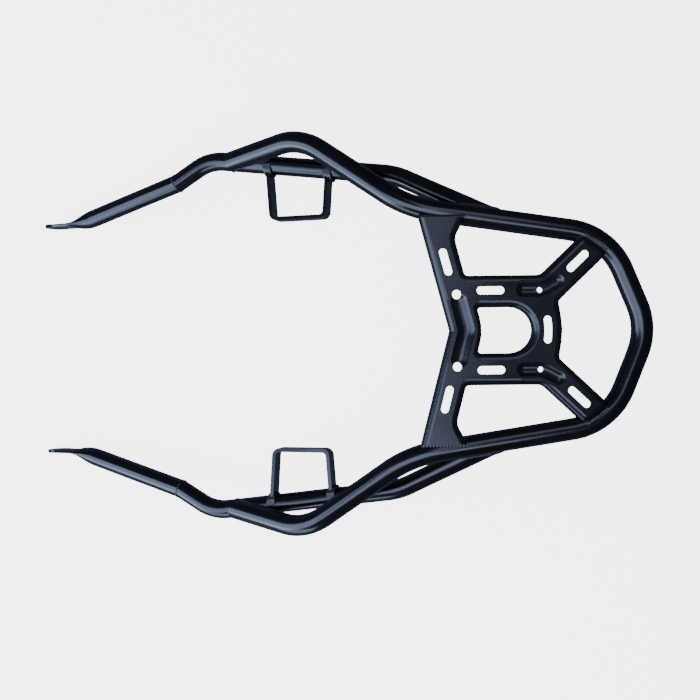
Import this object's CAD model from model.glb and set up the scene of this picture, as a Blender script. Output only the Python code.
import math

import bmesh
import bpy
import numpy as np
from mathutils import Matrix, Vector, noise


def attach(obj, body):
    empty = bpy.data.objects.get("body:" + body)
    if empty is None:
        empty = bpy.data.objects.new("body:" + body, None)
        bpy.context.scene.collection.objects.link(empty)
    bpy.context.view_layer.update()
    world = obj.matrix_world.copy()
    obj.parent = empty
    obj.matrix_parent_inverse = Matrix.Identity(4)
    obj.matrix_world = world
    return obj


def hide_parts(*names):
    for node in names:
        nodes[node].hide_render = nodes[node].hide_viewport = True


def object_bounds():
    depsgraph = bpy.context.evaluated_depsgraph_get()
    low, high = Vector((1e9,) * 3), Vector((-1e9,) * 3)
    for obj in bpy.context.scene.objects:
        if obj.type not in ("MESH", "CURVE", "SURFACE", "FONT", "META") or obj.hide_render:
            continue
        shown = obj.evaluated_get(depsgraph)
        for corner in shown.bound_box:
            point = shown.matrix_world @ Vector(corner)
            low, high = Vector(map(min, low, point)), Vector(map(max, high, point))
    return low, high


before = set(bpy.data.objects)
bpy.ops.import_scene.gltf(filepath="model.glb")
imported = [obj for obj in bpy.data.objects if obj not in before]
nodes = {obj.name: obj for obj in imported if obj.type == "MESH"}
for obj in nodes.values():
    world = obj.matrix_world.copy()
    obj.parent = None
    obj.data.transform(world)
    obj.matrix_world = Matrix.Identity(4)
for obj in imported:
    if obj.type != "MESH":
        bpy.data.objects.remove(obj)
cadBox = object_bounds()
print("rack loaded:", len(nodes), "pieces")


# Camera: straight above, turned as in the photo

cameraSettings = {
    "above": (0.340, -0.01773, 1.176),
    "turn": -0.74,
    "lens": 51.43,
    "sensor": 36.0,
}

cameraData = bpy.data.cameras.new("photoCamera")
cameraData.lens = cameraSettings["lens"]
cameraData.sensor_width = cameraSettings["sensor"]
cameraObject = bpy.data.objects.new("photoCamera", cameraData)
cameraObject.location = cameraSettings["above"]
cameraObject.rotation_euler = (0.0, 0.0, math.radians(cameraSettings["turn"]))
bpy.context.collection.objects.link(cameraObject)
bpy.context.scene.camera = cameraObject


# Floor and world: pale where the camera sees them, dark where the paint mirrors them

def tintByRay(tree, settings):
    rays = tree.nodes.new("ShaderNodeLightPath")
    tint = tree.nodes.new("ShaderNodeMix")
    tint.data_type = "RGBA"
    tint.inputs["A"].default_value = settings["inGloss"]
    tint.inputs["B"].default_value = settings["seen"]
    tree.links.new(rays.outputs["Is Camera Ray"], tint.inputs["Factor"])
    return rays, tint


floorSettings = {
    "size": 6.0,
    "middle": (0.3, 0.0),
    "drop": 0.001,
    "rough": 0.9,
    "seen": (0.92, 0.92, 0.93, 1.0),
    "inGloss": (0.12, 0.125, 0.15, 1.0),
    "glow": 4.6,
}

floorPlace = (*floorSettings["middle"], cadBox[0][2] - floorSettings["drop"])
floorMesh = bmesh.new()
bmesh.ops.create_grid(floorMesh, x_segments=1, y_segments=1, size=floorSettings["size"])
bmesh.ops.translate(floorMesh, verts=floorMesh.verts, vec=floorPlace)
floorData = bpy.data.meshes.new("floor")
floorMesh.to_mesh(floorData)
floorMesh.free()
floor = bpy.data.objects.new("floor", floorData)
bpy.context.collection.objects.link(floor)

floorMaterial = bpy.data.materials.new("paleFloor")
floorMaterial.use_nodes = True
floorTree = floorMaterial.node_tree
floorShader = floorTree.nodes["Principled BSDF"]
floorShader.inputs["Roughness"].default_value = floorSettings["rough"]
floorShader.inputs["Emission Color"].default_value = floorSettings["seen"]
floorRays, floorTint = tintByRay(floorTree, floorSettings)
floorGlow = floorTree.nodes.new("ShaderNodeMath")
floorGlow.operation = "MULTIPLY"
floorGlow.inputs[1].default_value = floorSettings["glow"]
floorTree.links.new(floorTint.outputs["Result"], floorShader.inputs["Base Color"])
floorTree.links.new(floorRays.outputs["Is Camera Ray"], floorGlow.inputs[0])
floorTree.links.new(floorGlow.outputs["Value"], floorShader.inputs["Emission Strength"])
floorData.materials.append(floorMaterial)

worldSettings = {"seen": (1.0, 1.0, 1.0, 1.0), "inGloss": (0.060, 0.066, 0.085, 1.0)}

world = bpy.data.worlds.new("studio")
world.use_nodes = True
worldTree = world.node_tree
worldTint = tintByRay(worldTree, worldSettings)[1]
worldTree.links.new(worldTint.outputs["Result"], worldTree.nodes["Background"].inputs["Color"])
bpy.context.scene.world = world


# Lights: a large bluish window to the front and left, and two dim panels

windowColour = (0.57, 0.67, 1.0)

lightSettings = {
    "windowSide": {
        "at": (-1.15, -0.50, 0.85), "aim": (0.35, 0.0, 0.15),
        "size": (1.5, 1.5), "power": 32.0, "colour": windowColour},
    "windowTop": {
        "at": (-0.16, -0.40, 1.62), "aim": (-0.16, -0.40, 0.15),
        "size": (1.26, 1.0), "power": 16.5, "colour": windowColour},
    "windowSill": {
        "at": (0.65, -0.60, 1.62), "aim": (0.65, -0.60, 0.15),
        "size": (0.40, 0.50), "power": 2.6, "colour": windowColour},
    "windowLow": {
        "at": (-0.70, -1.40, 0.45), "aim": (0.35, 0.0, 0.15),
        "size": (2.0, 0.75), "power": 17.0, "colour": windowColour},
    "farPanel": {
        "at": (0.60, 0.68, 1.50), "aim": (0.60, 0.68, 0.15),
        "size": (0.6, 0.60), "power": 1.7, "colour": (0.66, 0.76, 1.0)},
    "overhead": {
        "at": (0.45, 0.02, 1.62), "aim": (0.45, 0.02, 0.15),
        "size": (0.24, 0.90), "power": 1.3, "colour": (0.62, 0.70, 1.0)},
}


def addLight(name, settings):
    data = bpy.data.lights.new(name, "AREA")
    data.shape = "RECTANGLE"
    data.size, data.size_y = settings["size"]
    data.energy = settings["power"]
    data.color = settings["colour"]
    light = bpy.data.objects.new(name, data)
    light.location = settings["at"]
    way = Vector(settings["aim"]) - Vector(settings["at"])
    light.rotation_euler = way.to_track_quat("-Z", "Y").to_euler()
    bpy.context.collection.objects.link(light)


for lightName, lightValues in lightSettings.items():
    addLight(lightName, lightValues)
print("camera, floor and lights set")


# Paint: gloss black with a faint orange peel, hazier in clouds

noiseSettings = {"peelDetail": 2.0, "hazeDetail": 5.0, "hazeMin": 0.3, "hazeMax": 0.7}


def noiseGroup(name, values, output, detail):
    group = bpy.data.node_groups.new(name, "ShaderNodeTree")
    sockets = [("Vector", "INPUT", "NodeSocketVector")]
    sockets += [(value, "INPUT", "NodeSocketFloat") for value in values]
    sockets += [(output, "OUTPUT", "NodeSocketFloat")]
    for socketName, way, kind in sockets:
        group.interface.new_socket(name=socketName, in_out=way, socket_type=kind)
    source = group.nodes.new("NodeGroupInput")
    result = group.nodes.new("NodeGroupOutput")
    cloud = group.nodes.new("ShaderNodeTexNoise")
    cloud.inputs["Detail"].default_value = detail
    for socketName in ("Vector", "Scale"):
        group.links.new(source.outputs[socketName], cloud.inputs[socketName])
    return group, source, cloud, result


def orangePeelGroup():
    group, source, cloud, result = noiseGroup(
        "orangePeel", ["Scale"], "Height", noiseSettings["peelDetail"])
    group.links.new(cloud.outputs["Fac"], result.inputs["Height"])
    return group


def hazeGroup():
    group, source, cloud, result = noiseGroup(
        "haze", ["Scale", "Low", "High"], "Value", noiseSettings["hazeDetail"])
    spread = group.nodes.new("ShaderNodeMapRange")
    spread.inputs["From Min"].default_value = noiseSettings["hazeMin"]
    spread.inputs["From Max"].default_value = noiseSettings["hazeMax"]
    group.links.new(cloud.outputs["Fac"], spread.inputs["Value"])
    group.links.new(source.outputs["Low"], spread.inputs["To Min"])
    group.links.new(source.outputs["High"], spread.inputs["To Max"])
    group.links.new(spread.outputs["Result"], result.inputs["Value"])
    return group


orangePeel = orangePeelGroup()
haze = hazeGroup()


def placeGroup(tree, group, **values):
    node = tree.nodes.new("ShaderNodeGroup")
    node.node_tree = group
    for name, value in values.items():
        node.inputs[name].default_value = value
    return node


def makePaint(name, settings):
    material = bpy.data.materials.new(name)
    material.use_nodes = True
    tree = material.node_tree
    shader = tree.nodes["Principled BSDF"]
    shader.inputs["Coat Weight"].default_value = settings["coat"]
    shader.inputs["Coat Roughness"].default_value = settings["coatRoughness"]
    low, high = settings["rough"]
    peel = placeGroup(tree, orangePeel, Scale=settings["peelScale"])
    clouds = placeGroup(tree, haze, Scale=settings["hazeScale"], Low=low, High=high)
    tint = placeGroup(tree, haze, Scale=settings["tintScale"], Low=0.0, High=1.0)
    colours = tree.nodes.new("ShaderNodeMix")
    colours.data_type = "RGBA"
    colours.inputs["A"].default_value = settings["colour"]
    colours.inputs["B"].default_value = settings["paler"]
    bump = tree.nodes.new("ShaderNodeBump")
    bump.inputs["Distance"].default_value = settings["peelHeight"]
    place = tree.nodes.new("ShaderNodeTexCoord")
    for group in (peel, clouds, tint):
        tree.links.new(place.outputs["Object"], group.inputs["Vector"])
    tree.links.new(tint.outputs["Value"], colours.inputs["Factor"])
    tree.links.new(colours.outputs["Result"], shader.inputs["Base Color"])
    tree.links.new(clouds.outputs["Value"], shader.inputs["Roughness"])
    tree.links.new(peel.outputs["Height"], bump.inputs["Height"])
    tree.links.new(bump.outputs["Normal"], shader.inputs["Normal"])
    return material


tubePaint = makePaint("tubePaint", {
    "colour": (0.002, 0.002, 0.003, 1.0), "paler": (0.005, 0.005, 0.007, 1.0), "tintScale": 12.0,
    "rough": (0.17, 0.24), "hazeScale": 24.0, "coat": 0.35, "coatRoughness": 0.12,
    "peelScale": 420.0, "peelHeight": 0.00005})
platePaint = makePaint("platePaint", {
    "colour": (0.004, 0.004, 0.006, 1.0), "paler": (0.012, 0.012, 0.015, 1.0), "tintScale": 15.0,
    "rough": (0.19, 0.27), "hazeScale": 30.0, "coat": 0.25, "coatRoughness": 0.2,
    "peelScale": 520.0, "peelHeight": 0.00006})
weldPaint = makePaint("weldPaint", {
    "colour": (0.012, 0.012, 0.016, 1.0), "paler": (0.035, 0.033, 0.038, 1.0), "tintScale": 80.0,
    "rough": (0.26, 0.45), "hazeScale": 160.0, "coat": 0.3, "coatRoughness": 0.15,
    "peelScale": 800.0, "peelHeight": 0.00012})

for name, node in nodes.items():
    finish = platePaint if name == "top_plate" else tubePaint
    if name.startswith("weld"):
        finish = weldPaint
    for materialSlot in node.material_slots:
        materialSlot.material = finish
print("paint on every piece")


# Smooth skins for the pressed plate and the flattened arms

skinSettings = {
    "mergeWithin": 0.00003,
    "sharpAbove": 34.0,  # degrees between two faces
    "flatAbove": 0.99999,
}


def mergedCopy(nodeName):
    work = bmesh.new()
    work.from_mesh(nodes[nodeName].data)
    bmesh.ops.remove_doubles(work, verts=work.verts, dist=skinSettings["mergeWithin"])
    return work


def finishPiece(name, mesh, material, slotName, *replaced):
    piece = bpy.data.objects.new(name, mesh)
    bpy.context.collection.objects.link(piece)
    mesh.materials.clear()
    mesh.materials.append(material)
    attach(piece, "root")
    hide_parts(*replaced)
    return piece


# The face corners around a vertex that smooth edges join to the first one
def loopsRound(start, vert):
    fan, waiting = {start}, [start]
    while waiting:
        loop = waiting.pop()
        for edge in (loop.edge, loop.link_loop_prev.edge):
            for face in edge.link_faces if edge.smooth else ():
                for other in face.loops:
                    if other.vert == vert and other not in fan:
                        fan.add(other)
                        waiting.append(other)
    return fan


# A corner that touches a flat face along the given axis takes that face's normal
def evenNormals(mesh, flatAxis):
    work = bmesh.new()
    work.from_mesh(mesh)
    work.normal_update()
    found = {}
    for vert in work.verts:
        for start in vert.link_loops:
            if start in found:
                continue
            fan = loopsRound(start, vert)
            flat = [loop.face.normal for loop in fan
                    if abs(loop.face.normal[flatAxis]) > skinSettings["flatAbove"]]
            total = Vector()
            for loop in fan:
                total += loop.face.normal * loop.calc_angle()
            normal = flat[0].copy() if flat else total.normalized()
            for loop in fan:
                found[loop] = normal
    normals = [found[loop][:] for face in work.faces for loop in face.loops]
    work.free()
    mesh.normals_split_custom_set(normals)


def smoothSkin(nodeName, newName, material, flatAxis):
    work = mergedCopy(nodeName)
    limit = math.radians(skinSettings["sharpAbove"])
    for face in work.faces:
        face.smooth = True
    for edge in work.edges:
        edge.smooth = len(edge.link_faces) == 2 and edge.calc_face_angle(0.0) < limit
    mesh = bpy.data.meshes.new(newName)
    work.to_mesh(mesh)
    work.free()
    evenNormals(mesh, flatAxis)
    finishPiece(newName, mesh, material, "frame", nodeName)


for nodeName, newName, material, flatAxis in (
    ("top_plate", "plate_skin", platePaint, 2),
    ("front_arm_left", "arm_skin_left", tubePaint, 1),
    ("front_arm_right", "arm_skin_right", tubePaint, 1),
):
    smoothSkin(nodeName, newName, material, flatAxis)
print("smooth skins on the plate and the arms")


# Weld beads: each CAD weld is remeshed finely, then rippled along its seam

beadSettings = {
    "grain": 0.00042,
    "smoothing": 0.5,
    # Pitch and depth: of the beads along a straight seam, and of those round a tube or strap
    "ripples": {"weld_plate_front": (0.0034, 0.0010), "weld_plate_rear": (0.0026, 0.0006)},
    "fineRipples": (0.0021, 0.00034),
    "fewest": 6,
    "lean": 1.1,
    "crest": 0.7,
    "level": 0.65,
    "lumps": 0.00022,
    "lumpScale": 330.0,
    "sectors": 120,
}


def remeshed(nodeName):
    work = mergedCopy(nodeName)
    mesh = bpy.data.meshes.new("weldBlank")
    work.to_mesh(mesh)
    work.free()
    blank = bpy.data.objects.new("weldBlank", mesh)
    bpy.context.collection.objects.link(blank)
    remesh = blank.modifiers.new("remesh", "REMESH")
    remesh.mode = "VOXEL"
    remesh.voxel_size = beadSettings["grain"]
    bpy.context.view_layer.update()
    depsgraph = bpy.context.evaluated_depsgraph_get()
    fine = bmesh.new()
    fine.from_mesh(bpy.data.meshes.new_from_object(blank.evaluated_get(depsgraph)))
    bpy.data.objects.remove(blank)
    return fine


# The points' middle, and their main directions with the longest first
def mainWays(points):
    centre = points.mean(axis=0)
    spread = np.cov((points - centre).T)
    return centre, np.linalg.eigh(spread)[1].T[::-1]


# Each point's distance along the seam and its place across it. A closed seam is measured along
# its middle line, and stretched to a whole number of ripples
def alongSeam(points, closed, pitch):
    centre, ways = mainWays(points)
    flat = (points - centre) @ ways.T
    if not closed:
        return flat[:, 0], flat[:, 1]
    sectors = beadSettings["sectors"]
    angle = np.arctan2(flat[:, 1], flat[:, 0])
    reach = np.hypot(flat[:, 0], flat[:, 1])
    sector = ((angle / math.tau + 0.5) * sectors).astype(int) % sectors
    middle = np.array([reach[sector == k].mean() if (sector == k).any() else 0.0
                       for k in range(sectors)])
    way = (np.arange(sectors) + 0.5) / sectors * math.tau - math.pi
    ring = np.stack((middle * np.cos(way), middle * np.sin(way)), axis=1)
    steps = np.linalg.norm(np.roll(ring, -1, axis=0) - ring, axis=1)
    lengths = np.concatenate(([0.0], np.cumsum(steps)))
    count = max(beadSettings["fewest"], round(lengths[-1] / pitch))
    place = (angle / math.tau + 0.5) * sectors - 0.5
    along = np.interp(place, np.arange(len(lengths)), lengths)
    return along * count * pitch / lengths[-1], flat[:, 2]


def rippledBead(nodeName):
    work = remeshed(nodeName)
    bmesh.ops.smooth_vert(work, verts=work.verts, factor=beadSettings["smoothing"],
                          use_axis_x=True, use_axis_y=True, use_axis_z=True)
    points = np.array([v.co[:] for v in work.verts])
    kind = nodeName.rsplit("_", 1)[0]
    pitch, depth = beadSettings["ripples"].get(kind, beadSettings["fineRipples"])
    along, across = alongSeam(points, kind not in beadSettings["ripples"], pitch)
    half = np.ptp(across) * 0.5
    middle = (across.max() + across.min()) * 0.5
    work.normal_update()
    for vert, place, side in zip(work.verts, along, across):
        bow = beadSettings["lean"] * ((side - middle) / half) ** 2 * pitch * 0.5
        wave = abs(math.sin(math.pi * (place + bow) / pitch))
        ripple = wave ** beadSettings["crest"] - beadSettings["level"]
        lump = noise.noise(vert.co * beadSettings["lumpScale"])
        vert.co += vert.normal * (ripple * depth + lump * beadSettings["lumps"])
        vert.co.z = min(vert.co.z, cadBox[1][2])
    for face in work.faces:
        face.smooth = True
    mesh = bpy.data.meshes.new(nodeName + "_bead")
    work.to_mesh(mesh)
    work.free()
    return finishPiece(nodeName + "_bead", mesh, weldPaint, "weld", nodeName)


weldNames = [name for name in nodes if name.startswith("weld")]
for nodeName in weldNames:
    bead = rippledBead(nodeName)
    print(bead.name, "faces:", len(bead.data.polygons))
print("weld beads rippled:", len(weldNames))
